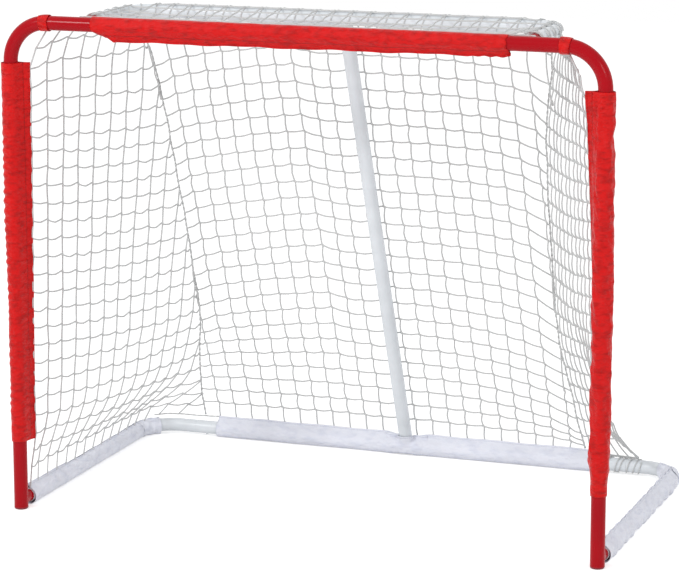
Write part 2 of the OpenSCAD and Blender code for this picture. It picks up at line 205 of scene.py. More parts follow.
@dataclass
class MeshParts:
    """Vertices, quads and UVs of a mesh that grows piece by piece."""

    verts: list[np.ndarray] = field(default_factory=list)
    quads: list[np.ndarray] = field(default_factory=list)
    uvs: list[np.ndarray] = field(default_factory=list)
    count: int = 0

    def add(self, verts: np.ndarray, quads: np.ndarray, uvs: np.ndarray) -> None:
        """Adds a piece.

        Args:
            verts: Points, one to a row.
            quads: Four vertex numbers to a row.
            uvs: Four UV pairs for each quad.
        """
        self.verts.append(verts)
        self.quads.append(quads + self.count)
        self.uvs.append(uvs.reshape(-1, 2))
        self.count += len(verts)

    def build(self, name: str, slot: str) -> bpy.types.Object:
        """Makes the object, gives it its finish and lets it ride on the goal.

        Args:
            name: Name of the piece.
            slot: The record's material slot.

        Returns:
            The new object.
        """
        verts, quads, uvs = (np.vstack(x) for x in (self.verts, self.quads, self.uvs))
        mesh = bpy.data.meshes.new(name)
        mesh.vertices.add(len(verts))
        mesh.vertices.foreach_set("co", verts.astype(np.float32).ravel())
        mesh.loops.add(quads.size)
        mesh.loops.foreach_set("vertex_index", quads.astype(np.int32).ravel())
        mesh.polygons.add(len(quads))
        mesh.polygons.foreach_set("loop_start", np.arange(0, quads.size, 4, dtype=np.int32))
        mesh.update(calc_edges=True)
        mesh.uv_layers.new(name="UVMap").data.foreach_set("uv", uvs.astype(np.float32).ravel())
        mesh.validate()
        mesh.shade_smooth()
        piece = put_in_scene(name, mesh)
        mesh.materials.append(paint(slot))
        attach(piece, BODY)
        log.info("%s: %d quads", name, len(quads))
        return piece


CORD_SIDES = 6
CAP_QUADS = np.array([[0, 5, 4, 3], [0, 3, 2, 1]])


def add_cord(parts: MeshParts, line: np.ndarray, radii: np.ndarray) -> None:
    """Sweeps a round cord along a line.

    Args:
        parts: The mesh that takes the cord.
        line: Points of its centre line.
        radii: Radius at each point.
    """
    tangents = np.gradient(line, axis=0)
    tangents /= np.linalg.norm(tangents, axis=1)[:, None] + 1e-12
    normal = np.cross(tangents[0], (0.31, 0.27, 0.91))
    normals = np.empty_like(line)
    for i, tangent in enumerate(tangents):
        normal = normal - tangent * (normal @ tangent)
        normal /= np.linalg.norm(normal) + 1e-12
        normals[i] = normal
    binormals = np.cross(tangents, normals)
    turns = np.arange(CORD_SIDES) * 2 * math.pi / CORD_SIDES
    ring = normals[:, None] * np.cos(turns)[None, :, None] + binormals[:, None] * np.sin(turns)[None, :, None]
    verts = (line[:, None] + radii[:, None, None] * ring).reshape(-1, 3)
    last = len(line) - 1
    i, j = (x.ravel() for x in np.meshgrid(np.arange(last), np.arange(CORD_SIDES), indexing="ij"))
    here, after = i * CORD_SIDES, (j + 1) % CORD_SIDES
    quads = np.stack([here + j, here + after, here + CORD_SIDES + after, here + CORD_SIDES + j], axis=1)
    run = distances(line)
    low, high = run[i], run[i + 1]
    left, right = j / CORD_SIDES, (j + 1) / CORD_SIDES
    uvs = np.stack([low, left, low, right, high, right, high, left], axis=1)
    caps = np.vstack([CAP_QUADS, CAP_QUADS[:, ::-1] + last * CORD_SIDES])
    parts.add(verts, np.vstack([quads, caps]), np.vstack([uvs, np.zeros((4, 8))]))


CLOTH = 0.0011


def add_sheet(parts: MeshParts, grid: np.ndarray) -> tuple[float, float]:
    """Makes a closed sheet of cloth round a grid of points.

    Args:
        parts: The mesh that takes the sheet.
        grid: Points of its middle surface, rows along its length.

    Returns:
        Its mean width and length, measured over the grid.
    """
    rows, cols = grid.shape[:2]
    normals = np.cross(np.gradient(grid, axis=0), np.gradient(grid, axis=1))
    normals /= np.linalg.norm(normals, axis=2)[:, :, None] + 1e-12
    top = (grid + normals * CLOTH / 2).reshape(-1, 3)
    bottom = (grid - normals * CLOTH / 2).reshape(-1, 3)
    u, v = (
        np.concatenate([[0.0], np.cumsum(np.linalg.norm(np.diff(grid, axis=k), axis=2).mean(axis=1 - k))])
        for k in (0, 1)
    )
    pair = np.stack(np.meshgrid(u, np.minimum(v, v[-1] - v), indexing="ij"), axis=2).reshape(-1, 2)
    i, j = (x.ravel() for x in np.meshgrid(np.arange(rows - 1), np.arange(cols - 1), indexing="ij"))
    face = np.stack([i * cols + j, (i + 1) * cols + j, (i + 1) * cols + j + 1, i * cols + j + 1], axis=1)
    rim = np.concatenate([
        np.arange(cols - 1),
        np.arange(rows - 1) * cols + cols - 1,
        (rows - 1) * cols + np.arange(cols - 1, 0, -1),
        np.arange(rows - 1, 0, -1) * cols,
    ])
    ahead, below = np.roll(rim, -1), rows * cols
    edge = np.stack([rim, ahead, ahead + below, rim + below], axis=1)
    quads = np.vstack([face, face[:, ::-1] + below, edge])
    uvs = np.vstack([pair[q].reshape(-1, 8) for q in (face, face[:, ::-1], edge % below)])
    parts.add(np.vstack([top, bottom]), quads, uvs)
    return float(v[-1]), float(u[-1])


def sew(name: str, slot: str, grid: np.ndarray, node: str = "") -> None:
    """Args:
        name: Name of the piece.
        slot: The record's material slot.
        grid: Points of its middle surface.
        node: Node that it stands for, if any.
    """
    parts = MeshParts()
    width, length = add_sheet(parts, grid)
    piece = parts.build(name, slot)
    if node:
        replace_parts(piece, node)


# ---- finishes ----


class Nodes:
    """The node tree of a material or a world, with short ways to add to it."""

    def __init__(self, owner: bpy.types.ID) -> None:
        """Turns the nodes on.

        Args:
            owner: The material or the world.
        """
        owner.use_nodes = True
        self.owner = owner
        self.tree = owner.node_tree

    def put(self, socket: Socket, value: object) -> None:
        """Links or sets a socket.

        Args:
            socket: The input.
            value: An output to link, or a value to set.
        """
        if isinstance(value, Socket):
            self.tree.links.new(value, socket)
        else:
            socket.default_value = value

    def add(self, kind: str, inputs: dict[object, object], **settings: object) -> bpy.types.Node:
        """Adds a node.

        Args:
            kind: The node's type.
            inputs: Values or links by input name or number.
            settings: Properties of the node.

        Returns:
            The new node.
        """
        node = self.tree.nodes.new(kind)
        for key, value in settings.items():
            setattr(node, key, value)
        for key, value in inputs.items():
            self.put(node.inputs[key], value)
        return node

    def calc(self, operation: str, a: object, b: object = 0.0) -> Socket:
        """One sum on two values, as an output."""
        return self.add("ShaderNodeMath", {0: a, 1: b}, operation=operation).outputs[0]

    def times(self, a: object, b: object) -> Socket:
        """The product of two values, as an output."""
        return self.calc("MULTIPLY", a, b)

    def line(self, value: object, middle: float, half: float) -> Socket:
        """A line where a value is near its middle, as an output of 0 or 1."""
        return self.calc("LESS_THAN", self.calc("ABSOLUTE", self.calc("SUBTRACT", value, middle)), half)

    def mix(self, share: object, a: object, b: object) -> Socket:
        """A mix of two colours, as an output."""
        return self.add("ShaderNodeMix", {0: share, 6: a, 7: b}, data_type="RGBA").outputs[2]

    def noise(self, vector: object, scale: float, detail: float = 2.0) -> Socket:
        """Noise of a scale, as an output of 0 to 1."""
        return self.add("ShaderNodeTexNoise", {"Vector": vector, "Scale": scale, "Detail": detail}).outputs[0]

    def stretched(self, scale: Triple, turn: Triple = (0.0, 0.0, 0.0)) -> Socket:
        """The point on the object, turned and scaled, as an output."""
        inputs = {"Vector": self.place, "Rotation": turn, "Scale": scale}
        return self.add("ShaderNodeMapping", inputs).outputs[0]

    def bump(self, height: object, distance: float, strength: float, under: object = (0, 0, 0)) -> Socket:
        """Relief of a height in metres over any relief linked under it, as a normal output."""
        inputs = {"Height": height, "Distance": distance, "Strength": strength, "Normal": under}
        return self.add("ShaderNodeBump", inputs).outputs[0]

    def spread(self, value: object, low: float, high: float) -> Socket:
        """Spreads low to high of a value over 0 to 1, as an output."""
        return self.add("ShaderNodeMapRange", {0: value, 1: low, 2: high}).outputs[0]

    @property
    def place(self) -> Socket:
        """The point on the object, in metres."""
        return self.add("ShaderNodeTexCoord", {}).outputs["Object"]

    @property
    def seen(self) -> Socket:
        """1 for rays from the camera or from gloss, and 0 for the light that falls on things."""
        path = self.add("ShaderNodeLightPath", {})
        return self.calc("MAXIMUM", path.outputs["Is Camera Ray"], path.outputs["Is Glossy Ray"])

    def uv(self) -> tuple[Socket, Socket]:
        """The two UV values, as outputs."""
        split = self.add("ShaderNodeSeparateXYZ", {0: self.add("ShaderNodeTexCoord", {}).outputs["UV"]})
        return split.outputs[0], split.outputs[1]

    def shade(self, inputs: dict[str, object]) -> bpy.types.Material:
        """Gives the shader its inputs.

        Args:
            inputs: Values or links by input name.

        Returns:
            The material.
        """
        shader = self.tree.nodes["Principled BSDF"]
        for key, value in inputs.items():
            self.put(shader.inputs[key], value)
        return self.owner


def opaque(colour: Triple, factor: float = 1.0) -> tuple[float, float, float, float]:
    """A colour made lighter or darker, with full cover."""
    return (colour[0] * factor, colour[1] * factor, colour[2] * factor, 1.0)


@dataclass(frozen=True)
class PowderCoat:
    """Glossy baked paint on tube, with a fine orange peel and faint scuffs."""

    colour: Triple
    scuff: Triple
    roughness: float = 0.2
    gloss: float = 0.14

    def fill(self, n: Nodes) -> bpy.types.Material:
        """Builds the paint in its nodes.

        Args:
            n: The nodes of its material.

        Returns:
            The material.
        """
        patch = n.spread(n.noise(n.place, 9.0, 3.0), 0.35, 0.65)
        tone = n.mix(patch, opaque(self.colour, 0.93), opaque(self.colour, 1.05))
        marks = n.spread(n.noise(n.place, 60.0, 6.0), 0.66, 0.74)
        return n.shade({
            "Base Color": n.mix(n.times(marks, 0.35), tone, opaque(self.scuff)),
            "Roughness": n.calc("ADD", n.times(marks, 0.2), self.roughness),
            "Specular IOR Level": self.gloss,
            "Normal": n.bump(n.noise(n.place, 420.0), 0.00012, 0.5),
        })


@dataclass(frozen=True)
class SleeveCloth:
    """Coated woven polyester with a plain weave, soft creases with painted shade, and a stitched hem."""

    colour: Triple
    # Colour of the painted shade in the creases and in the fold's groove; the stitches are darkened towards
    # it too.
    shade: Triple
    gloss: float = 0.2
    roughness: float = 0.33
    crumple: float = 46.0
    # How strongly the painted crease shade darkens the cloth.
    depth: float = 0.5
    thread: float = 0.0007
    hem: float = 0.004
    seam: float = 0.016
    stitches: float = 250.0

    def fill(self, n: Nodes) -> bpy.types.Material:
        """Builds the cloth in its nodes.

        Args:
            n: The nodes of its material.

        Returns:
            The material.
        """
        u, v = n.uv()
        weave = n.times(*(n.calc("SINE", n.times(x, 2 * math.pi / self.thread)) for x in (u, v)))
        dash = n.calc("LESS_THAN", n.calc("FRACT", n.times(u, self.stitches)), 0.62)
        stitch = n.times(dash, n.line(v, self.hem, 0.0006))
        fold = n.line(v, self.seam, 0.0009)
        cloud = n.spread(n.noise(n.place, 9.0, 3.0), 0.3, 0.7)
        crumple = n.noise(n.stretched((1.0, 1.0, 2.4), (0.5, 0.6, 0.0)), self.crumple, 3.0)
        tone = n.mix(cloud, opaque(self.colour, 0.96), opaque(self.colour, 1.03))
        # Painted shade: where the crease noise is high, the colour is darkened towards the shade colour, so
        # the creases look shaded.
        tone = n.mix(n.times(n.spread(crumple, 0.47, 0.68), self.depth), tone, opaque(self.shade))
        threads = n.bump(weave, 0.0001, 0.5, n.bump(crumple, 0.007, 0.9))
        # The stitches and the fold line are darkened towards the shade colour; at the fold this is painted
        # shade in its groove.
        return n.shade({
            "Base Color": n.mix(n.times(n.calc("MAXIMUM", stitch, fold), 0.6), tone, opaque(self.shade)),
            "Roughness": self.roughness,
            "Specular IOR Level": self.gloss,
            "Normal": n.bump(n.calc("SUBTRACT", stitch, fold), 0.0006, 0.8, threads),
        })


@dataclass(frozen=True)
class BraidedCord:
    """Soft braided cord: crossing strands with painted shade in the gaps between them."""

    colour: Triple
    # Colour of the painted shade in the gaps between the strands; the dirt is tinted towards it too.
    gap: Triple
    pitch: float = 0.0045
    strands: int = 6

    def fill(self, n: Nodes) -> bpy.types.Material:
        """Builds the braid in its nodes.

        Args:
            n: The nodes of its material.

        Returns:
            The material.
        """
        u, v = n.uv()
        wave = n.times(u, 2 * math.pi / self.pitch)
        round_it = n.times(v, self.strands * math.pi)
        crossing = n.times(*(n.calc("SINE", n.calc(way, wave, round_it)) for way in ("ADD", "SUBTRACT")))
        height = n.calc("ABSOLUTE", crossing)
        dirt = n.spread(n.noise(n.place, 30.0, 3.0), 0.4, 0.75)
        # Painted shade: the colour darkens towards the gap colour where the strands dip between their
        # crossings.
        tone = n.mix(n.spread(height, 0.0, 0.45), opaque(self.gap), opaque(self.colour))
        return n.shade({
            "Base Color": n.mix(n.times(dirt, 0.2), tone, opaque(self.gap)),
            "Roughness": 0.8,
            "Specular IOR Level": 0.2,
            "Normal": n.bump(height, 0.0004, 0.8),
        })


@dataclass(frozen=True)
class MouldedPlastic:
    """Matt moulded plastic with a fine grain and a scuffed foot."""

    colour: Triple
    scuff: Triple

    def fill(self, n: Nodes) -> bpy.types.Material:
        """Builds the plastic in its nodes.

        Args:
            n: The nodes of its material.

        Returns:
            The material.
        """
        marks = n.spread(n.noise(n.place, 140.0, 6.0), 0.58, 0.75)
        return n.shade({
            "Base Color": n.mix(n.times(marks, 0.5), opaque(self.colour), opaque(self.scuff)),
            "Roughness": n.calc("ADD", n.times(marks, 0.25), 0.42),
            "Normal": n.bump(n.noise(n.place, 900.0), 0.0001, 0.5),
        })


@dataclass(frozen=True)
class PlatedSteel:
    """Plated or tempered steel with fine drawn lines."""

    colour: Triple
    roughness: float

    def fill(self, n: Nodes) -> bpy.types.Material:
        """Builds the steel in its nodes.

        Args:
            n: The nodes of its material.

        Returns:
            The material.
        """
        lines = n.noise(n.stretched((1.0, 1.0, 14.0)), 300.0, 4.0)
        return n.shade({
            "Metallic": 1.0,
            "Base Color": n.mix(lines, opaque(self.colour, 0.8), opaque(self.colour, 1.1)),
            "Roughness": n.calc("ADD", n.times(lines, 0.2), self.roughness),
            "Normal": n.bump(lines, 0.0001, 0.4),
        })


RED_CLOTH, WHITE_CLOTH, CORD, SPRING = "red_sleeve_fabric", "white_sleeve_fabric", "net_cord", "spring_steel"
FINISHES = {
    "red_powder_coat": PowderCoat((0.43, 0.001, 0.007), (0.28, 0.004, 0.01)),
    "white_powder_coat": PowderCoat((0.80, 0.84, 0.88), (0.58, 0.62, 0.68), 0.26, 0.4),
    # The second colour of each sleeve cloth is the colour of its painted shade.
    RED_CLOTH: SleeveCloth((0.70, 0.003, 0.003), (0.30, 0.001, 0.001)),
    WHITE_CLOTH: SleeveCloth((0.88, 0.90, 0.99), (0.60, 0.64, 0.80), crumple=34.0, depth=0.3, seam=0.2),
    # The cord's second colour is its painted gap shade.
    CORD: BraidedCord((0.80, 0.81, 0.81), (0.52, 0.53, 0.53)),
    "foot_cap_plastic": MouldedPlastic((0.24, 0.006, 0.014), (0.12, 0.02, 0.02)),
    "button_steel": PlatedSteel((0.62, 0.63, 0.65), 0.2),
    SPRING: PlatedSteel((0.42, 0.43, 0.45), 0.35),
}


@functools.cache
def paint(slot: str) -> bpy.types.Material:
    """The material of a slot, built once."""
    return FINISHES[slot].fill(Nodes(bpy.data.materials.new(slot)))


# ---- frame tubes, caps, buttons and springs ----


class FrameFinish:
    """The finishes of the frame's tubes, caps, buttons and springs."""

    def dress(self) -> None:
        """Gives each node the finish of its slot."""
        slots = {part["node"]: part["material_slot"] for part in frame["record"]["subparts"]}
        for name, node in frame["nodes"].items():
            node.data.materials.clear()
            node.data.materials.append(paint(slots[name]))
            log.info("%s: %s", name, slots[name])


@dataclass
class LeafSprings:
    """The leaf springs of the snap buttons, each a copy of its spring's shape."""

    travel: float = 0.0042
    places: tuple[str, ...] = ("base_front", "base_rear", "shelf_front", "shelf_rear")

    def build(self) -> None:
        """Makes a leaf of each spring's shape, held at its end in the tube's wall."""
        for stem in (f"{side.label}_{place}" for place in self.places for side in Side):
            node = frame["nodes"][f"{stem}_spring"]
            leaf = put_in_scene(f"{stem}_leaf", node.data.copy())
            leaf.data.name = leaf.name
            leaf.matrix_world = node.matrix_world.copy()
            leaf.data.materials.clear()
            leaf.data.materials.append(paint(SPRING))
            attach(leaf, BODY)
            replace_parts(leaf, f"{stem}_spring")
            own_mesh(leaf)


# ---- net ----

CORD_R = 0.00185
KNOT_R = 0.0025
BACK_COLUMN = 0.0425
BACK_ROW = 0.044
SIDE_COLUMN = 0.049
SIDE_ROW = 0.040
COLUMNS = -0.018 + np.arange(-12, 13) * BACK_COLUMN
LACE_R = 0.0013
BORDER_R = 0.0014
NET_LOW = 0.0504

SEAM_HEIGHTS = (0.05, 0.17, 0.34, 0.60, 0.88, 1.03, 1.10)
SEAM_X = {
    Side.LEFT: (-0.526, -0.520, -0.489, -0.482, -0.483, -0.491, -0.489),
    Side.RIGHT: (0.440, 0.425, 0.402, 0.411, 0.430, 0.462, 0.487),
}


def back_y(z: float) -> float:
    """The depth of the flat back panel at a height."""
    return 0.3753 - 0.409 * (z - NET_LOW)


def seam(side: Side, z: float) -> np.ndarray:
    """The point at a height of the seam between a side panel and the back panel."""
    x = float(np.interp(z, SEAM_HEIGHTS, SEAM_X[side]))
    return vec(x, back_y(z) - 0.030 * smoothstep((z - 0.98) / 0.12), z)


@dataclass
class CordWork:
    """Cords of one piece, laid with the small steps and slack of real netting."""

    rng: random.Random = field(default_factory=lambda: random.Random(SEED))
    step: float = 0.0011
    slack: float = 0.0020
    knot_reach: float = 0.0042
    least_gap: float = 0.012
    parts: MeshParts = field(default_factory=MeshParts)

    def strand(self, joints: Sequence[np.ndarray], side_dir: np.ndarray) -> None:
        """Lays a cord through its crossings.

        Args:
            joints: The crossings in order.
            side_dir: The direction in which the cord steps and sags, across its run.
        """
        rows = []
        for i, (joint, after) in enumerate(zip(joints, joints[1:])):
            rows.append((*joint, KNOT_R if i else CORD_R))
            gap = after - joint
            long = float(np.linalg.norm(gap))
            if long < self.least_gap:
                continue
            reach = self.knot_reach / long
            lean = self.step * self.rng.uniform(0.5, 1.4)
            sag = self.slack * self.rng.uniform(0.4, 1.5)
            for share, off in ((reach, -lean), (0.5, -sag), (1 - reach, lean)):
                rows.append((*(joint + gap * share + side_dir * off), CORD_R))
        line = smooth(np.array([*rows, (*joints[-1], CORD_R)]), 2)
        add_cord(self.parts, line[:, :3], line[:, 3])

    def plain(self, points: np.ndarray, radius: float) -> None:
        """Lays a cord through points."""
        add_cord(self.parts, points, np.full(len(points), radius))

    def piece(self, name: str) -> bpy.types.Object:
        """Makes the cords a piece."""
        return self.parts.build(name, CORD)


def jitter(point: np.ndarray, size: float) -> np.ndarray:
    """A crossing moved a little, the same way each time."""
    return point + size * np.array([wobble(point, 21.0, s) for s in (3.1, 7.7, 12.9)])


@dataclass
class BackPanel:
    """The sloping back panel, laced between the two seams."""

    high_z: float = 1.1017
    crease_x: float = -0.152
    tuck: float = 0.012
    sleeve_end: float = 0.489
    margin: float = 0.01
    down: Triple = (0.0, 0.38, -0.925)

    @property
    def length(self) -> float:
        """The slope's length, from the base sleeves to the shelf."""
        return math.hypot(back_y(self.high_z) - back_y(NET_LOW), self.high_z - NET_LOW)

    def height(self, t: float) -> float:
        """The height at a distance up the slope."""
        return NET_LOW + (self.high_z - NET_LOW) * t / self.length

    def seams(self, t: float) -> tuple[np.ndarray, np.ndarray]:
        """The points of the left and the right seam at a distance up the slope."""
        return seam(Side.LEFT, self.height(t)), seam(Side.RIGHT, self.height(t))

    def sag(self, x: float, share: float, left: float, right: float) -> float:
        """How far the rows hang down, least at the crease that runs down from the shelf.

        Args:
            x: Place across the goal.
            share: Share of the way up the slope.
            left: Place of the left seam.
            right: Place of the right seam.

        Returns:
            The drop, in metres.
        """
        before = max(0.0, self.crease_x - x) / (self.crease_x - left)
        off_left, off_right = max(0.0, x - left), max(0.0, right - x)
        past = 0.013 * smoothstep((x - self.crease_x) / 0.07) if x > self.crease_x else 0.0
        slack = 0.052 * before**1.2 + 0.016 * math.exp(-off_left / 0.03) + past
        pulled = 0.036 * math.exp(-off_right / 0.035) + 0.020 * math.exp(-off_right / 0.12)
        pulled += 0.032 * (1 - 0.7 * smoothstep((share - 0.3) / 0.4)) * math.exp(-((off_right / 0.19) ** 2))
        drop = smoothstep(share / 0.35) * slack + smoothstep((share + 0.03) / 0.16) * pulled
        return drop * min(1.0, (1 - share) / 0.07)

    def at(self, x: float, t: float) -> np.ndarray:
        """A point of the panel.

        Args:
            x: Place across the goal.
            t: Distance up the slope.

        Returns:
            The point, where it hangs.
        """
        share = t / self.length
        left, right = self.seams(t)
        z = self.height(max(t - self.sag(x, share, left[0], right[0]), -self.tuck))
        point = vec(x, back_y(z), z)
        for line, off in ((left, x - left[0]), (right, right[0] - x)):
            point[1] += (line[1] - back_y(line[2])) * math.exp(-max(0.0, off) / 0.05)
        bow = 0.010 * smoothstep(share / 0.35) * math.sin(math.pi * share)
        point[1] -= bow * abs(math.sin(7.0 * x + 1.3))
        return jitter(point, 0.0028 * min(1.0, share / 0.05))

    def column(self, x: float, heights: np.ndarray) -> list[list[np.ndarray]]:
        """The crossings of a column, which ends where it meets a seam and may start again past it.

        Args:
            x: Place of the column across the goal.
            heights: Distances of the rows up the slope.

        Returns:
            Its runs of crossings, between the two seams.
        """
        near = Side.RIGHT if x > 0 else Side.LEFT
        runs = [[self.at(x, -self.tuck if abs(x) < self.sleeve_end else 0.0)]]
        for t in (*heights, self.length):
            left, right = self.seams(t)
            edge = seam(near, self.height(t - BACK_ROW / 2))
            if left[0] < x < right[0]:
                runs[-1] += [self.at(x, t)] if runs[-1] else [edge, self.at(x, t)]
            elif runs[-1]:
                runs[-1].append(edge)
                runs.append([])
        return [run for run in runs if len(run) > 2]

    def build(self) -> None:
        """Lays the panel's cords."""
        work = CordWork()
        heights = np.arange(1, int(self.length / BACK_ROW) + 1) * BACK_ROW
        for t in heights:
            left, right = (float(point[0]) for point in self.seams(t))
            inner = [x for x in COLUMNS if left + self.margin < x < right - self.margin]
            row = [self.at(x, t) for x in (left, *inner, right)]
            row[0], row[-1] = seam(Side.LEFT, row[0][2]), seam(Side.RIGHT, row[-1][2])
            work.strand(row, -vec(*self.down))
        for x in COLUMNS:
            for run in self.column(x, heights):
                work.strand(run, vec(1, 0, 0))
        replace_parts(work.piece("back_net_cords"), "back_net")


@dataclass
class SidePanel:
    """A side panel, from the post's sleeve to the seam.

    The left one has its foot along the base tube. The right one's foot is gathered on the bare part of the
    rear bar.
    """

    side: Side
    flare: float = 0.20
    droop: float = 0.034
    wrap_end: float = -0.638
    hold: tuple[float, float] = (-0.575, 0.363)
    hold_share: float = 0.45
    bunch: float = 0.134
    columns: int = 11
    samples: int = 60
    flap_gap: float = 0.0006
    strap_gap: tuple[float, float] = (0.004, 0.003)
    foot_gap: float = 0.004
    border_gap: float = 0.0028

    @property
    def loose(self) -> bool:
        """Whether this is the left panel, whose foot is spread out."""
        return self.side is Side.LEFT

    @property
    def front_low(self) -> float:
        """Height of the panel's lower front corner."""
        return 0.0502 if self.loose else 0.166

    @property
    def rear_low(self) -> float:
        """Height of the panel's lower rear corner."""
        return 0.0502 if self.loose else 0.0405

    def front(self, z: float) -> np.ndarray:
        """The panel's front edge on the left side: on the flap, to the strap above it and to the foot below.

        Args:
            z: Height over the floor.

        Returns:
            The point.
        """
        g = GOAL
        turn, reach = flap_turn(self.side, z), flap_length(z) + self.flap_gap
        flap = vec(-g.post_x + reach * math.cos(turn), g.front_y + reach * math.sin(turn), z)
        if z > g.post_sleeve_top:
            strap = vec(-g.post_x + g.bend_r + self.strap_gap[0], g.front_y + g.tube_r + self.strap_gap[1], z)
            return flap + (strap - flap) * ((z - g.post_sleeve_top) / (g.bar_z - g.post_sleeve_top)) ** 1.2
        if z < g.post_sleeve_z:
            foot = vec(-g.post_x + self.foot_gap, g.base_tube_y + self.foot_gap, z)
            share = (z - self.front_low) / (g.post_sleeve_z - self.front_low)
            return foot + (flap - foot) * smoothstep(share)
        return flap

    def foot_path(self, start: np.ndarray, end: np.ndarray) -> np.ndarray:
        """The line, seen from above, that the left panel's foot takes.

        Args:
            start: The front edge's point.
            end: The seam's point.

        Returns:
            Points from the front edge to the seam.
        """
        g = GOAL
        depths = np.linspace(g.base_tube_y + 0.03, g.rear_y - g.bend_r, 12)[:-1]
        side = [(-g.post_x, y, end[2]) for y in depths]
        bend = bend_points(-g.post_x, g.rear_y, end[2], np.linspace(0, math.pi / 2, 9))
        return np.array([start, *side, *bend, end])

    def section(self, t: float) -> np.ndarray:
        """The panel's row at a share of its height, on the left side.

        Args:
            t: Share of the way up, from 0 to 1.

        Returns:
            Points from the front edge to the seam.
        """
        top = GOAL.bar_z
        low = t * (top - self.rear_low)
        rear_z = self.rear_low + low
        front_z = self.front_low + (top - self.front_low) * t
        if self.loose:
            rear_z -= self.droop * (1 - math.exp(-low / 0.08)) * smoothstep((1.10 - rear_z) / 0.25)
        else:
            front_z += self.bunch * math.exp(-t / 0.12)
        dip = 0.024 * smoothstep((front_z - 0.78) / 0.15) * smoothstep((1.105 - front_z) / 0.06)
        start, end = self.front(front_z - dip), seam(self.side, max(rear_z, NET_LOW))
        end = vec(-abs(end[0]), end[1], rear_z)
        shares = np.linspace(0.0, 1.0, self.samples)
        if self.loose:
            path = self.foot_path(start, end)
            foot = along(path, shares * length_of(path))
            pull = smoothstep(low / self.flare) ** 0.75
        else:
            held = np.array([start, (*self.hold, min(rear_z, end[2])), end])
            knots = (0.0, self.hold_share, 1.0)
            foot = np.stack([np.interp(shares, knots, held[:, k]) for k in range(3)], axis=1)
            pull = min(1.0, low / 0.40) ** 0.42
        line = foot * (1 - pull) + (start + (end - start) * shares[:, None]) * pull
        if self.loose:
            line[:, 2] = start[2] + (rear_z - start[2]) * shares ** (1.0 + 0.5 * (1 - pull))
        line[:, 2] += dip * (1 - np.exp(-shares / 0.15)) * (1 - shares)
        hang = 0.010 * np.sin(math.pi * shares)
        line[:, 2] -= hang * smoothstep(low / 0.1) * smoothstep((1.09 - front_z) / 0.1)
        return line

    def crossings(self, j: int, count: int) -> list[np.ndarray]:
        """The crossings of one row, with the point on the seam last.

        Args:
            j: Number of the row, from the foot.
            count: Number of rows over the foot.

        Returns:
            The crossings, on the panel's own side.
        """
        line = self.section(j / count)
        if self.loose:
            places = along(line, np.arange(int((length_of(line) - 0.012) / SIDE_COLUMN) + 1) * SIDE_COLUMN)
        else:
            places = line[np.round(np.arange(self.columns) * (self.samples - 1) / self.columns).astype(int)]
        if j == 0 and self.loose:
            places[:, 2] -= 0.016 * (places[:, 0] < self.wrap_end)
        size = (0.0034 if self.loose else 0.002) * (j > 0)
        return [p * vec(-self.side.value, 1, 1) for p in (*(jitter(p, size) for p in places), line[-1])]

    def build(self) -> None:
        """Lays the panel's cords."""
        rng = random.Random(SEED + self.side.value)
        work = CordWork(rng, step=0.0018, slack=0.0038 if self.loose else 0.0022)
        count = int((GOAL.bar_z - self.front_low) / SIDE_ROW)
        grid = [self.crossings(j, count) for j in range(count + 1)]
        for row in grid[1:]:
            work.strand(row, vec(0, 0, 1))
        for k in range(max(len(row) for row in grid) - 1):
            joints = [row[k] for row in grid if len(row) - 1 > k]
            joints += [row[-1] for row in grid if len(row) - 1 <= k][:1]
            if len(joints) > 2:
                work.strand(joints, vec(0.35 * self.side.value, 0.9, 0.0))
        if not self.loose:
            for shift in (0.0, self.border_gap):
                work.plain(self.section(0.0) * vec(-self.side.value, 1, 1) + vec(0, 0, shift), BORDER_R)
        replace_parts(work.piece(f"{self.side.label}_side_net_cords"), f"{self.side.label}_side_net")


@dataclass
class TopPanel:
    """The panel over the shelf, from the crossbar to the shelf's rear bar."""

    lift: float = 0.0021
    rows: int = 7
    front_inset: float = 0.024
    rear_inset: float = 0.012
    margin: float = 0.02

    def at(self, x: float, y: float) -> np.ndarray:
        """A point of the panel, which sags between the tubes.

        Args:
            x: Place across the goal.
            y: Place from the front to the back.

        Returns:
            The point.
        """
        g = GOAL
        dip = 0.016 * smoothstep((y - g.front_y) / 0.09) * smoothstep((g.shelf_y - y) / 0.13)
        dip *= smoothstep((g.shelf_x - abs(x)) / 0.08)
        return jitter(vec(x, y, g.bar_z + g.tube_r + self.lift - dip), 0.0005 + 0.25 * dip)

    def half_width(self, y: float) -> float:
        """How far out the panel reaches at a depth, with the shelf's round corners."""
        past = max(0.0, y - (GOAL.shelf_y - GOAL.bend_r))
        return GOAL.shelf_x - GOAL.bend_r + math.sqrt(max(0.0, GOAL.bend_r**2 - past**2))

    def over(self, axis: np.ndarray, out: np.ndarray) -> list[np.ndarray]:
        """Points over a shelf tube's outer side, from top to middle, by its axis and the way out."""
        r = GOAL.tube_r + 0.0018
        return [axis + r * (out * math.sin(a) + vec(0, 0, math.cos(a))) for a in (0.7, 1.2, 1.6)]

    def build(self) -> None:
        """Lays the panel's cords."""
        g = GOAL
        work = CordWork(random.Random(SEED + 7))
        depths = np.linspace(g.front_y + self.front_inset, g.shelf_y - self.rear_inset, self.rows)
        for y in depths:
            half = self.half_width(y)
            left, right = (self.over(vec(s.value * half, y, g.bar_z), vec(s.value, 0, 0)) for s in Side)
            inner = [self.at(x, y) for x in COLUMNS if abs(x) < half - self.margin]
            work.strand([*left[::-1], *inner, *right], vec(0, 1, 0))
        for x in COLUMNS:
            inside = [self.at(x, y) for y in depths if self.half_width(y) > abs(x)]
            if len(inside) < 3:
                continue
            if self.half_width(g.shelf_y - 0.004) > abs(x):
                inside += self.over(vec(x, g.shelf_y, g.bar_z), vec(0, 1, 0))
            work.strand(inside, vec(1, 0, 0))
        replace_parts(work.piece("top_net_cords"), "top_net")


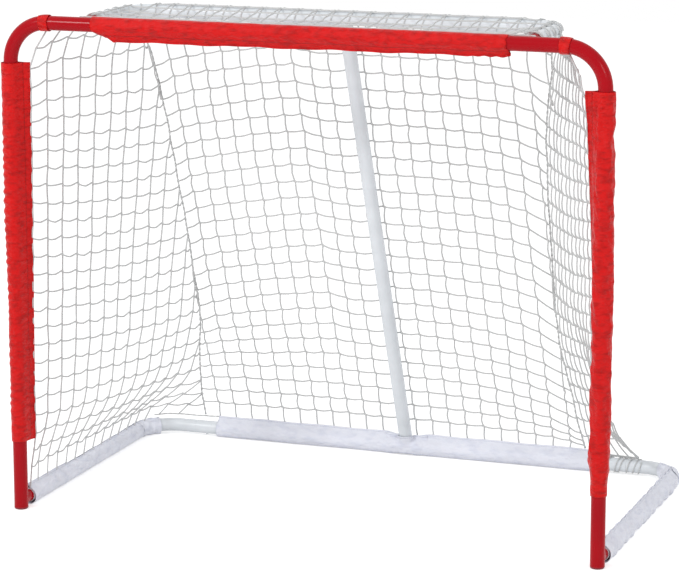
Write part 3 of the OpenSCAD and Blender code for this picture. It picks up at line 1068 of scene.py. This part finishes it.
@dataclass
class Lacing:
    """Seam cords, border cords and the lashing round the tubes."""

    twist: float = 0.030
    twist_step: float = 0.005
    coil_points: int = 18
    stub_turns: tuple[tuple[float, float], ...] = ((-0.300, 0.10), (-0.306, -0.2), (-0.296, 0.3))

    def twisted(self, work: CordWork, line: np.ndarray, radius: float, spread: float) -> None:
        """Twists two cords round a line.

        Args:
            work: Takes the cords.
            line: The line.
            radius: Radius of each cord.
            spread: How far each cord lies from the line.
        """
        length = distances(line)[-1]
        count = max(4, int(length / self.twist_step))
        points = along(line, np.linspace(0.0, length, count))
        for phase in (0.0, math.pi):
            turn = np.arange(count) * length / count * 2 * math.pi / self.twist + phase
            off = np.stack([np.cos(turn), 0.6 * np.sin(turn), 0.2 * np.sin(turn)], axis=1) * spread
            work.plain(points + off, radius)

    def coil(self, work: CordWork, line: np.ndarray, tube_r: float, pitch: float) -> None:
        """Winds a cord round a tube.

        Args:
            work: Takes the cord.
            line: The tube's centre line.
            tube_r: Radius that the cord lies on.
            pitch: Distance from turn to turn.
        """
        total = length_of(line)
        count = int(total / pitch * self.coil_points)
        points = along(line, np.linspace(0.0, total, count))
        tangents = np.gradient(points, axis=0)
        tangents /= np.linalg.norm(tangents, axis=1)[:, None]
        flat = np.cross(tangents, (0.0, 0.0, 1.0))
        flat /= np.linalg.norm(flat, axis=1)[:, None]
        turn = np.linspace(0.0, total / pitch * 2 * math.pi, count)[:, None]
        ring = flat * np.cos(turn) + np.cross(flat, tangents) * np.sin(turn)
        work.plain(points + (tube_r + LACE_R) * ring, LACE_R)

    def seam_cord(self, side: Side) -> None:
        """Lays the doubled cord that joins a side panel to the back panel.

        Args:
            side: Which seam.
        """
        work = CordWork()
        line = np.array([seam(side, z) for z in np.arange(0.052, 1.10, 0.012)])
        line += np.array([[0.004 * wobble(p, 14.0, 5.0), 0.004 * wobble(p, 14.0, 9.0), 0.0] for p in line])
        self.twisted(work, line, LACE_R, 0.0013)
        work.piece(f"{side.label}_net_seam")

    def shelf_lashing(self) -> None:
        """Winds the lashing that holds the top and back panels to the shelf's tubes."""
        g = GOAL
        work = CordWork()
        left = [vec(-g.shelf_x, y, g.bar_z) for y in (-0.275, -0.22, g.shelf_y - g.bend_r)]
        left += bend_points(-g.shelf_x, g.shelf_y, g.bar_z, np.linspace(0.15, math.pi / 2, 8))
        right = [p * vec(-1, 1, 1) for p in left[::-1]]
        self.coil(work, np.array([*left, *right]), g.tube_r + 0.0002, BACK_COLUMN)
        work.piece("shelf_lashing")

    def foot_border(self) -> None:
        """Lays the doubled border cord from the left corner wrap to the rear sleeve, over the bare tube."""
        g = GOAL
        work = CordWork()
        z = g.base_z + g.flap_reach - 0.004
        line = bend_points(-g.post_x, g.rear_y, z, np.linspace(math.radians(42), math.pi / 2, 7))
        straight = ((-0.56, 0.3), (-0.53, 0.8), (-0.50, 1.0), (-0.478, 1.0))
        line += [vec(x, g.rear_y + 0.007 * share, z) for x, share in straight]
        points = smooth(np.array(line), 4)
        points[:, 2] += np.array([0.0022 * wobble(p, 30.0, 4.0) for p in points])
        self.twisted(work, points, BORDER_R, 0.0015)
        work.piece("left_foot_border")

    def corner_lashing(self) -> None:
        """Winds the crossing cords that hold the right side panel to the bare part of the rear bar."""
        work = CordWork()
        points = np.array([(x, GOAL.rear_y, GOAL.base_z) for x in (0.583, 0.56, 0.53, 0.492)])
        self.coil(work, points, GOAL.tube_r + 0.0002, 0.034)
        self.coil(work, points[::-1], GOAL.tube_r + 0.0006, 0.029)
        work.piece("right_corner_lashing")

    def stub_loops(self) -> None:
        """Lays loops round the welded stubs of the shelf."""
        g = GOAL
        work = CordWork()
        turn, out = np.linspace(0, 2 * math.pi, 22), g.tube_r + 0.0016
        for side in Side:
            for y, tilt in self.stub_turns:
                x, z = side.value * g.shelf_x + out * np.cos(turn), g.bar_z + out * np.sin(turn)
                work.plain(np.stack([x, y + 0.006 * tilt * np.sin(turn), z], axis=1), BORDER_R)
        work.piece("shelf_stub_loops")

    def build(self) -> None:
        """Makes all the lacing."""
        for side in Side:
            self.seam_cord(side)
        self.foot_border()
        self.corner_lashing()
        self.shelf_lashing()
        self.stub_loops()


# ---- sleeves ----


def folds(place: np.ndarray, size: float, scale: float, fine: float, shift: float) -> float:
    """The height at a place of creases of a size, broad ones with a share of finer ones."""
    broad, small = wobble(place, scale, shift), wobble(place, scale * 3.1, shift + 4.0)
    return size * (0.45 + 0.55 * broad + fine * small)


@dataclass
class Sleeve:
    """A length of cloth closed round a tube, with a doubled flap and creases.

    In the methods, s is the distance along the sleeve, and v is the share of the way round the cloth, from
    one edge of the flap to the other.
    """

    node: str
    tube: str
    side: Side = Side.LEFT
    slot: str = WHITE_CLOTH
    sag: float = 0.0033
    step: float = 0.0045
    radius: float = 0.01695
    half_edge: float = 0.0010
    around: int = 54
    least: float = -0.0004

    @property
    def length(self) -> float:
        """The sleeve's length along the tube."""
        raise NotImplementedError

    def axes(self, s: float) -> Axes:
        """The point of the tube's axis, and the directions across and along the flap."""
        raise NotImplementedError

    def flap(self, s: float) -> float:
        """How far the flap reaches from the tube's axis."""
        raise NotImplementedError

    def end_shift(self, s: float, v: float) -> float:
        """How far the cloth is shifted along the tube, which slants or frays an end."""
        return 0.0

    def crease(self, s: float, v: float, place: np.ndarray) -> float:
        """The height of the cloth over its plain place."""
        raise NotImplementedError

    def section(self, reach: float) -> np.ndarray:
        """The open line of the cloth, from one edge of the flap round the tube to the other.

        Args:
            reach: Reach of the flap.

        Returns:
            Points across and along the flap's direction.
        """
        low = self.radius + self.sag / 2
        root = math.radians(34 + 28 * (1 - smoothstep((reach - 0.019) / 0.006)))
        turns = np.linspace(root, -math.pi - root, 40)
        bends = [(low * math.cos(a), low * math.sin(a) - self.sag / 2) for a in turns]
        up = [(self.half_edge, reach), (self.half_edge * 1.6, 0.75 * reach + 0.25 * bends[0][1])]
        line = np.array([*up, *bends, *[(-x, y) for x, y in reversed(up)]])
        return along(line, np.linspace(0.0, distances(line)[-1], self.around))

    def build(self) -> None:
        """Sews the sleeve."""
        rows = max(8, int(self.length / self.step))
        grid = np.empty((rows + 1, self.around, 3))
        for i in range(rows + 1):
            s = self.length * i / rows
            section = self.section(self.flap(s))
            slope = np.gradient(section, axis=0)
            outward = np.stack([-slope[:, 1], slope[:, 0]], axis=1)
            outward /= np.linalg.norm(outward, axis=1)[:, None] + 1e-12
            for j, (p, n) in enumerate(zip(section, outward)):
                v = j / (self.around - 1)
                origin, across, along_flap = self.axes(s + self.end_shift(s, v))
                flat = origin + across * p[0] + along_flap * p[1]
                off = max(self.crease(s, v, flat), self.least)
                grid[i, j] = flat + (across * n[0] + along_flap * n[1]) * off
        grid[:, :, 2] = np.maximum(grid[:, :, 2], CLOTH + 0.0001)
        sew(f"{self.node}_cloth", self.slot, grid, self.node)


@dataclass
class CrossbarSleeve(Sleeve):
    """The red sleeve along the crossbar, cut on a slant at its left end and frayed at its right."""

    slot: str = RED_CLOTH
    sag: float = 0.0
    half: float = 0.471925
    slant: float = 0.030

    @property
    def length(self) -> float:
        """The length, a little short of the right seam."""
        return 2 * self.half - 0.007

    def axes(self, s: float) -> Axes:
        """The crossbar, with the flap hanging down."""
        return vec(s - self.half, GOAL.front_y, GOAL.bar_z), vec(0, 1, 0), vec(0, 0, -1)

    def end_shift(self, s: float, v: float) -> float:
        """The slant of the left end and the fray of the right one.

        Args:
            s: Distance along the sleeve.
            v: Share of the way round.

        Returns:
            The shift.
        """
        low = max(0.0, 1.0 - min(v, 1.0 - v) / 0.24)
        at_end = smoothstep((s - self.length + 0.03) / 0.03)
        right = (0.0015 * math.sin(37.0 * v) + 0.005 * low) * at_end
        return self.slant * low**2 * (1 - smoothstep(s / 0.07)) + right - 0.003 * at_end

    def flap(self, s: float) -> float:
        """The reach, which narrows to the right, waves and frays.

        Args:
            s: Distance along the sleeve.

        Returns:
            The reach.
        """
        wave = 0.0009 * math.sin(31.0 * s) + 0.0006 * math.sin(77.0 * s)
        frayed = 0.0012 * math.sin(240.0 * s) * smoothstep((s - self.length + 0.12) / 0.08)
        return 0.0352 - 0.0065 * s / self.length - 0.009 * (1 - smoothstep(s / 0.035)) + wave + frayed

    def crease(self, s: float, v: float, place: np.ndarray) -> float:
        """Broad creases, with fine ones near both ends."""
        near = smoothstep((s - self.length + 0.16) / 0.16) + 1 - smoothstep(s / 0.05)
        return folds(place, 0.0009, 20.0, 0.4, 2.0) + near * 0.0010 * wobble(place, 55.0, 8.0)


@dataclass
class PostSleeve(Sleeve):
    """A red sleeve on a post, whose flap holds the side panel's front edge."""

    slot: str = RED_CLOTH
    sag: float = 0.0
    step: float = 0.003
    ripple: float = 0.019
    cloth: float = 0.17
    strip: float = 0.016

    @property
    def length(self) -> float:
        """The length, from over the foot to under the bend."""
        return GOAL.post_sleeve_top - GOAL.post_sleeve_z

    def axes(self, s: float) -> Axes:
        """The post, with the flap turned towards the net.

        Args:
            s: Distance up the sleeve.

        Returns:
            The point of the axis, and the directions across and along the flap.
        """
        z, out = GOAL.post_sleeve_z + s, -self.side.value
        a = flap_turn(self.side, z)
        across = vec(-out * math.sin(a), math.cos(a), 0.0) * out
        return vec(-out * GOAL.post_x, GOAL.front_y, z), across, vec(out * math.cos(a), math.sin(a), 0.0)

    def flap(self, s: float) -> float:
        """The reach, which waves a little."""
        return flap_length(GOAL.post_sleeve_z + s) + 0.0012 * wobble((s, 0.0, self.side.value), 13.0)

    def crease(self, s: float, v: float, place: np.ndarray) -> float:
        """Ripples up the left sleeve, and slanting creases in the bagging right one.

        Args:
            s: Distance up the sleeve.
            v: Share of the way round.
            place: The plain place of the cloth.

        Returns:
            The height.
        """
        edge = min(v, 1.0 - v)
        low, body = smoothstep((s - 0.01) / 0.08), smoothstep((edge - 0.10) / 0.06)
        if self.side is Side.LEFT:
            bag = 0.0034 * smoothstep((s - 0.30) / 0.25) * math.sin(math.pi * v) ** 3
            phase = 2 * math.pi * s / self.ripple + 3.0 * math.sin(9.0 * v) + 4.0 * wobble(place, 9.0)
            calm = 0.25 + 0.75 * smoothstep((self.length - s) / 0.22)
            wrinkle = 0.0021 * calm * math.sin(phase) * (0.5 + 0.7 * wobble(place, 23.0, 2.0))
        else:
            bag = 0.0046 * (1 - 0.6 * smoothstep((s - 0.45) / 0.3)) * math.sin(math.pi * v) ** 2
            w = v * self.cloth
            slant = (s + 2.0 * w, 1.6 * w - 0.4 * s, 0.3)
            wrinkle = 0.0075 * (0.28 - abs(wobble(slant, 17.0, 5.0))) + 0.0020 * wobble(slant, 52.0, 1.0)
        strip = 0.0009 if edge * self.cloth < self.strip else 0.0
        broad = folds(place, 0.0017, 16.0, 0.5, 11.0 * self.side.value)
        return broad * (0.4 + 0.6 * body) + low * (bag + body * wrinkle) + strip


@dataclass
class BaseSleeve(Sleeve):
    """A white sleeve along a base tube, ruched on the right side."""

    step: float = 0.0032
    narrow_at: float = 0.205

    @property
    def length(self) -> float:
        """The length, from the post's stub to the bend."""
        return GOAL.rear_y - GOAL.bend_r - GOAL.base_tube_y

    def axes(self, s: float) -> Axes:
        """The base tube, with the flap upwards."""
        origin = vec(self.side.value * GOAL.post_x, GOAL.base_tube_y + s, GOAL.base_z)
        return origin, vec(1, 0, 0), vec(0, 0, 1)

    def flap(self, s: float) -> float:
        """The reach, which on the left steps down part of the way back.

        Args:
            s: Distance along the sleeve.

        Returns:
            The reach.
        """
        if self.side is Side.RIGHT:
            return 0.0285 + 0.0012 * math.sin(190.0 * s)
        step = smoothstep((s - self.narrow_at) / 0.012)
        return 0.0268 - 0.0022 * s / 0.2 * (1 - step) - 0.0066 * step + 0.0006 * math.sin(60.0 * s)

    def crease(self, s: float, v: float, place: np.ndarray) -> float:
        """Broad creases, with gathers round the right sleeve.

        Args:
            s: Distance along the sleeve.
            v: Share of the way round.
            place: The plain place of the cloth.

        Returns:
            The height.
        """
        broad = folds(place, 0.0013 if self.side is Side.LEFT else 0.0016, 26.0, 0.4, 5.0 + self.side.value)
        if self.side is Side.LEFT:
            return broad
        bend = 2.2 * abs(v - 0.5) * 2 * math.pi
        body = smoothstep((min(v, 1 - v) - 0.08) / 0.07)
        gather = math.sin(124.0 * s + bend + 3.0 * wobble(place, 9.0))
        gather *= 0.75 + 0.5 * wobble(place, 30.0, 3.0)
        fine = math.sin(290.0 * s - bend + 2.0 * wobble(place, 20.0, 6.0))
        inside = body * smoothstep((s - 0.01) / 0.04) * smoothstep((self.length - s) / 0.05)
        return broad * (0.3 + 0.7 * body) + inside * (0.0027 * gather + 0.0010 * fine)


@dataclass
class BaseWrap(Sleeve):
    """The white corner piece of a base sleeve, round the start of the bend and further round on the left."""

    step: float = 0.0025
    start: float = math.radians(1)

    @property
    def length(self) -> float:
        """The length, along the axis of the bend."""
        return (math.radians(50 if self.side is Side.LEFT else 47) - self.start) * GOAL.bend_r

    def axes(self, s: float) -> Axes:
        """The bend, with the flap upwards.

        Args:
            s: Distance along the wrap.

        Returns:
            The point of the axis, and the directions across and along the flap.
        """
        a = self.start + s / GOAL.bend_r
        out = vec(self.side.value * math.cos(a), math.sin(a), 0.0)
        centre = vec(self.side.value * (GOAL.post_x - GOAL.bend_r), GOAL.rear_y - GOAL.bend_r, GOAL.base_z)
        return centre + out * GOAL.bend_r, out * self.side.value, vec(0, 0, 1)

    def flap(self, s: float) -> float:
        """The reach, which falls along the wrap."""
        left, right = smoothstep(s / self.length), smoothstep(1.3 * s / self.length)
        return 0.0202 - 0.0014 * left if self.side is Side.LEFT else 0.0285 - 0.0100 * right

    def end_shift(self, s: float, v: float) -> float:
        """The slant of the right wrap's end."""
        return 0.018 * (2 * v - 1) * smoothstep(s / self.length) * (self.side is Side.RIGHT)

    def crease(self, s: float, v: float, place: np.ndarray) -> float:
        """Broad creases with a fine ripple."""
        ripple = 0.0009 * math.sin(230.0 * s + 9.0 * v)
        return folds(place, 0.0016, 34.0, 0.5, 15.0 + self.side.value) + ripple


@dataclass
class RearSleeve(Sleeve):
    """A white sleeve along one half of the rear bar, crumpled at the brace's foot."""

    inner: float = 0.018
    outer: float = 0.488925

    @property
    def length(self) -> float:
        """The length, from the brace's foot outwards."""
        return self.outer - self.inner

    def axes(self, s: float) -> Axes:
        """The rear bar, with the flap leaning back a little.

        Args:
            s: Distance outwards along the sleeve.

        Returns:
            The point of the axis, and the directions across and along the flap.
        """
        rise, run = math.cos(GOAL.rear_lean), math.sin(GOAL.rear_lean)
        origin = vec(self.side.value * (self.inner + s), GOAL.rear_y, GOAL.base_z)
        return origin, vec(0.0, rise, -run) * -self.side.value, vec(0.0, run, rise)

    def flap(self, s: float) -> float:
        """The reach, less at the brace's foot."""
        return 0.0306 - 0.006 * (1 - smoothstep(s / 0.04)) + 0.0006 * math.sin(40.0 * s)

    def crease(self, s: float, v: float, place: np.ndarray) -> float:
        """Broad creases, and a crumple at the brace's foot."""
        crumple = (1 - smoothstep(s / 0.08)) * 0.0026 * (0.3 + wobble(place, 60.0, 3.0))
        return folds(place, 0.0011, 18.0, 0.3, 25.0 + self.side.value) + crumple


@dataclass
class BraceTie:
    """The crumpled tie of white cloth that closes the rear sleeves over the brace's foot."""

    half: float = 0.052
    top: float = 0.0495
    columns: int = 49

    def front(self, x: float, z: float) -> float:
        """How far forward the covered surface reaches, at a place on its face.

        Args:
            x: Place across the goal.
            z: Height over the floor.

        Returns:
            The depth.
        """
        g = GOAL
        loop, brace_r = g.tube_r + 0.0036, g.tube_r + 0.0008
        drop = z - (g.base_z - 0.0015)
        bar = g.rear_y - math.sqrt(max(0.0, loop**2 - drop**2)) if drop < loop else g.rear_y
        flap = g.rear_y + math.tan(g.rear_lean) * (z - g.base_z) - 0.004
        lean = math.atan2(g.rear_y - g.shelf_y, g.bar_z - g.base_z)
        side = math.sqrt(max(0.0, brace_r**2 - x**2)) / math.cos(lean)
        brace = g.rear_y - (z - g.base_z) * math.tan(lean) - side if abs(x) < brace_r else g.rear_y
        near = sorted((min(bar, flap), brace if z > g.base_z else g.rear_y))
        blend = max(0.0, 0.008 - (near[1] - near[0])) / 0.008
        return near[0] - 0.0018 * blend**2 - 0.0014

    def build(self) -> None:
        """Sews the tie."""
        heights = np.concatenate([np.linspace(0.0035, 0.034, 14), np.linspace(0.036, self.top, 8)])
        grid = np.empty((self.columns, len(heights), 3))
        for i, x in enumerate(np.linspace(-self.half, self.half, self.columns)):
            fade = 1 - smoothstep((self.half - abs(x)) / 0.012)
            middle = 1 - smoothstep((abs(x) - 0.03) / 0.025)
            for j, z in enumerate(heights):
                shift = 0.004 * wobble((x, 0.2, z), 30.0, 6.0)
                rough = -0.0022 * fade + 0.0014 * (1.0 + wobble((x, 0.0, z), 75.0, 2.0)) * middle
                inside = 0.2 < j / len(heights) < 0.95
                grid[i, j] = (x + shift, self.front(x, z) - rough, z + 0.5 * shift * inside)
        sew("brace_foot_tie", WHITE_CLOTH, grid)


@dataclass
class CornerStrap:
    """A red strap closed round the end of a post's top bend."""

    side: Side
    rows: int = 10
    around: int = 40
    start: float = -0.013
    width: float = 0.022

    def build(self) -> None:
        """Sews the strap."""
        g = GOAL
        grid = np.empty((self.rows + 1, self.around, 3))
        for i in range(self.rows + 1):
            share = i / self.rows
            run = self.start + self.width * share
            a = math.radians(90) + min(0.0, run) / g.bend_r
            centre = vec(self.side.value * (g.post_x - g.bend_r - max(0.0, run)), g.front_y, g.post_bend_z)
            out = vec(self.side.value * math.cos(a), 0.0, math.sin(a))
            for j in range(self.around):
                turn = 2 * math.pi * (j / (self.around - 1)) * 0.985 + 0.6
                radius = g.tube_r + 0.0009 + 0.0009 * abs(math.sin(3 * turn + 2 * share)) + 0.0004 * share
                round_it = out * math.cos(turn) + vec(0, 1, 0) * math.sin(turn)
                grid[i, j] = centre + out * g.bend_r + radius * round_it
        if self.side is Side.LEFT:
            grid = grid[:, ::-1]
        node = f"{self.side.label}_corner_strap"
        sew(f"{node}_cloth", RED_CLOTH, grid, node)


# ---- studio ----


@dataclass
class Studio:
    """The floor, the light and the camera."""

    lens: float = 157.6
    place: Triple = (2.198, -6.198, 1.877)
    yaw: float = 19.85
    pitch: float = 11.99
    roll: float = -0.06
    surround: float = 0.68
    floor_glow: float = 0.5
    floor_half: float = 9.0

    def floor(self) -> None:
        """A plain pale floor."""
        h = self.floor_half
        mesh = bpy.data.meshes.new("floor")
        mesh.from_pydata([(-h, -h, 0), (h, -h, 0), (h, h, 0), (-h, h, 0)], [], [(0, 1, 2, 3)])
        n = Nodes(bpy.data.materials.new("floor_paper"))
        paper = n.mix(n.noise(n.place, 3.0), opaque((0.86, 0.86, 0.86)), opaque((0.88, 0.88, 0.88)))
        mesh.materials.append(n.shade({
            "Base Color": paper,
            "Roughness": 0.9,
            "Specular IOR Level": 0.0,
            "Emission Color": opaque((1.0, 1.0, 1.0)),
            "Emission Strength": n.times(n.seen, self.floor_glow),
        }))
        put_in_scene("floor", mesh)

    def world(self) -> None:
        """A white surround that lights the goal evenly."""
        bpy.context.scene.world = bpy.data.worlds.new("surround")
        n = Nodes(bpy.context.scene.world)
        back = n.tree.nodes["Background"]
        n.put(back.inputs["Color"], opaque((1.0, 1.0, 1.0)))
        strength = n.add("ShaderNodeMapRange", {0: n.seen, 3: self.surround, 4: 1.0})
        n.put(back.inputs["Strength"], strength.outputs[0])

    def lamp(self, name: str, place: Triple, size: float, watts: float) -> None:
        """A softbox that faces the goal.

        Args:
            name: Name of the lamp.
            place: Where it hangs.
            size: Side of the box.
            watts: Its power.
        """
        data = bpy.data.lights.new(name, "AREA")
        data.shape, data.size, data.energy = "SQUARE", size, watts
        lamp = put_in_scene(name, data)
        lamp.location = place
        lamp.rotation_euler = (Vector((0, 0, 0.5)) - Vector(place)).to_track_quat("-Z", "Y").to_euler()

    def camera(self) -> None:
        """The camera at the front, to the right of the middle."""
        data = bpy.data.cameras.new("camera")
        data.lens, data.sensor_width, data.clip_end = self.lens, 36.0, 60.0
        yaw, pitch, roll = (math.radians(a) for a in (self.yaw, self.pitch, self.roll))
        ahead = Vector((-math.sin(yaw) * math.cos(pitch), math.cos(yaw) * math.cos(pitch), -math.sin(pitch)))
        right = Vector((math.cos(yaw), math.sin(yaw), 0.0))
        up = right.cross(ahead)
        right_rolled = right * math.cos(roll) + up * math.sin(roll)
        up_rolled = up * math.cos(roll) - right * math.sin(roll)
        camera = put_in_scene("camera", data)
        turn = Matrix((right_rolled, up_rolled, -ahead)).transposed()
        camera.matrix_world = Matrix.Translation(self.place) @ turn.to_4x4()
        bpy.context.scene.camera = camera

    def build(self) -> None:
        """Sets up the studio."""
        self.floor()
        self.world()
        self.lamp("key_softbox", (-2.6, -4.2, 3.6), 1.0, 98)
        self.lamp("fill_softbox", (3.6, -3.0, 2.6), 0.9, 32)
        self.camera()
        bpy.context.scene.view_settings.view_transform = "Standard"


def main() -> None:
    """Builds the goal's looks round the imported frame."""
    logging.basicConfig(level=logging.INFO, format="%(message)s")
    FrameFinish().dress()
    LeafSprings().build()
    Studio().build()
    BackPanel().build()
    TopPanel().build()
    CrossbarSleeve("crossbar_sleeve", "crossbar").build()
    for side in Side:
        SidePanel(side).build()
        PostSleeve(f"{side.label}_post_sleeve", f"{side.label}_post", side).build()
        BaseSleeve(f"{side.label}_base_sleeve", f"{side.label}_base_tube", side).build()
        BaseWrap(f"{side.label}_base_wrap", f"{side.label}_base_tube", side).build()
        RearSleeve(f"{side.label}_rear_sleeve", "base_rear_bar", side).build()
        CornerStrap(side).build()
    BraceTie().build()
    Lacing().build()


if __name__ == "__main__":
    main()
